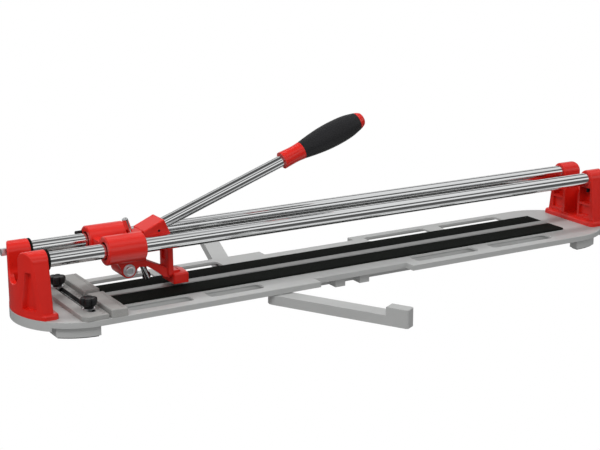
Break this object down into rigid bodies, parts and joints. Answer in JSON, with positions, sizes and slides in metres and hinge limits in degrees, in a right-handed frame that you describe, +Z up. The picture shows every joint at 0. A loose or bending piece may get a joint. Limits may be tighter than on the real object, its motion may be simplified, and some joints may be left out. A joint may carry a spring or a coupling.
{
  "type": "tile cutter",
  "caption": "Manual rail tile cutter: long base, two chrome rails on end supports, sliding carriage with scoring wheel and breaking lever, ruler fence and swing-out stays.",
  "frame": {"origin": "on the floor under the centre pad, below the middle of the two rails", "axes": "+X along the rails from the fence end to the open end, +Y away from the operator's side that carries the pivot bolt's head, +Z up"},
  "size_m": [1.0828, 0.5936, 0.2619],
  "materials": {
    "red_paint": "gloss",
    "red_plastic": "gloss",
    "base_grey": "satin",
    "fence_cast": "cast, satin",
    "ridge_steel": "brushed",
    "rail_chrome": "polished",
    "zinc_steel": "zinc plated",
    "black_steel": "blackened",
    "carbide": "ground",
    "bush_bronze": "sintered",
    "pad_rubber": "ribbed",
    "foot_rubber": "matt",
    "grip_rubber": "soft",
    "black_plastic": "matt"
  },
  "bodies": {
    "base": {"base_casting": "base_grey", "breaker_ridge": "ridge_steel", "rear_pad": "pad_rubber", "front_pad": "pad_rubber", "foot_pads": "foot_rubber", "left_support": "red_paint", "right_support": "red_paint", "support_bolts": "zinc_steel", "support_washers": "zinc_steel", "front_rail": "rail_chrome", "rear_rail": "rail_chrome", "rail_plugs": "zinc_steel", "rear_rail_bolts": "zinc_steel", "rail_set_screws": "black_steel", "rail_buffers": "foot_rubber", "rear_fence": "fence_cast", "front_fence": "fence_cast", "fence_screws": "zinc_steel", "arm_bolts": "zinc_steel", "arm_washers": "zinc_steel"},
    "ruler": {"ruler_bar": "fence_cast", "ruler_slot_liner": "black_plastic"},
    "front_clamp": {"front_knob": "black_plastic", "front_knob_stud": "zinc_steel", "front_knob_washer": "zinc_steel"},
    "rear_clamp": {"rear_knob": "black_plastic", "rear_knob_stud": "zinc_steel", "rear_knob_washer": "zinc_steel"},
    "carriage": {"carriage_casting": "red_paint", "front_bushes": "bush_bronze", "rear_bushes": "bush_bronze", "bush_rings": "black_steel", "carriage_bumper": "black_plastic", "pivot_bolt": "zinc_steel", "pivot_nut": "zinc_steel", "pivot_washers": "zinc_steel"},
    "lever": {"lever_yoke": "red_paint", "pivot_bush": "bush_bronze", "breaking_shoe": "red_paint", "shoe_screw": "zinc_steel", "lever_stop_screw": "zinc_steel", "lever_rod": "rail_chrome", "lever_rod_pin": "black_steel", "ferrule": "red_plastic", "grip": "grip_rubber", "grip_cap": "red_plastic", "wheel_clamp_screw": "black_steel"},
    "holder": {"wheel_holder": "rail_chrome", "wheel_axle": "zinc_steel"},
    "wheel": {"cutting_wheel": "carbide"},
    "front_stay": {"front_arm": "base_grey"},
    "rear_stay": {"rear_arm": "base_grey"}
  },
  "joints": [
    {"name": "carriage_slide", "type": "slide", "parent": "base", "child": "carriage", "axis": [1, 0, 0], "range_m": [-0.075, 0.75]},
    {"name": "lever_pivot", "type": "hinge", "parent": "carriage", "child": "lever", "pos_m": [-0.3705, 0, 0.0675], "axis": [0, -1, 0], "range_deg": [-2.8, 9.5]},
    {"name": "wheel_height", "type": "slide", "parent": "lever", "child": "holder", "axis": [-0.3338, 0, 0.9426], "range_m": [-0.008, 0.005]},
    {"name": "wheel_spin", "type": "hinge", "parent": "holder", "child": "wheel", "pos_m": [-0.33378, 0, 0.04875], "axis": [0, 1, 0], "continuous": true},
    {"name": "front_stay_swing", "type": "hinge", "parent": "base", "child": "front_stay", "pos_m": [-0.157, -0.086, 0.009], "axis": [0, 0, 1], "range_deg": [-29, 60]},
    {"name": "rear_stay_swing", "type": "hinge", "parent": "base", "child": "rear_stay", "pos_m": [-0.157, 0.086, 0.009], "axis": [0, 0, 1], "range_deg": [-71, 18]},
    {"name": "ruler_slide", "type": "slide", "parent": "base", "child": "ruler", "axis": [0, 1, 0], "range_m": [-0.01, 0.01]},
    {"name": "front_clamp_turn", "type": "hinge", "parent": "base", "child": "front_clamp", "pos_m": [-0.4525, -0.0615, 0.03], "axis": [0, 0, 1], "continuous": true},
    {"name": "rear_clamp_turn", "type": "hinge", "parent": "base", "child": "rear_clamp", "pos_m": [-0.4525, 0.0615, 0.03], "axis": [0, 0, 1], "continuous": true}
  ]
}
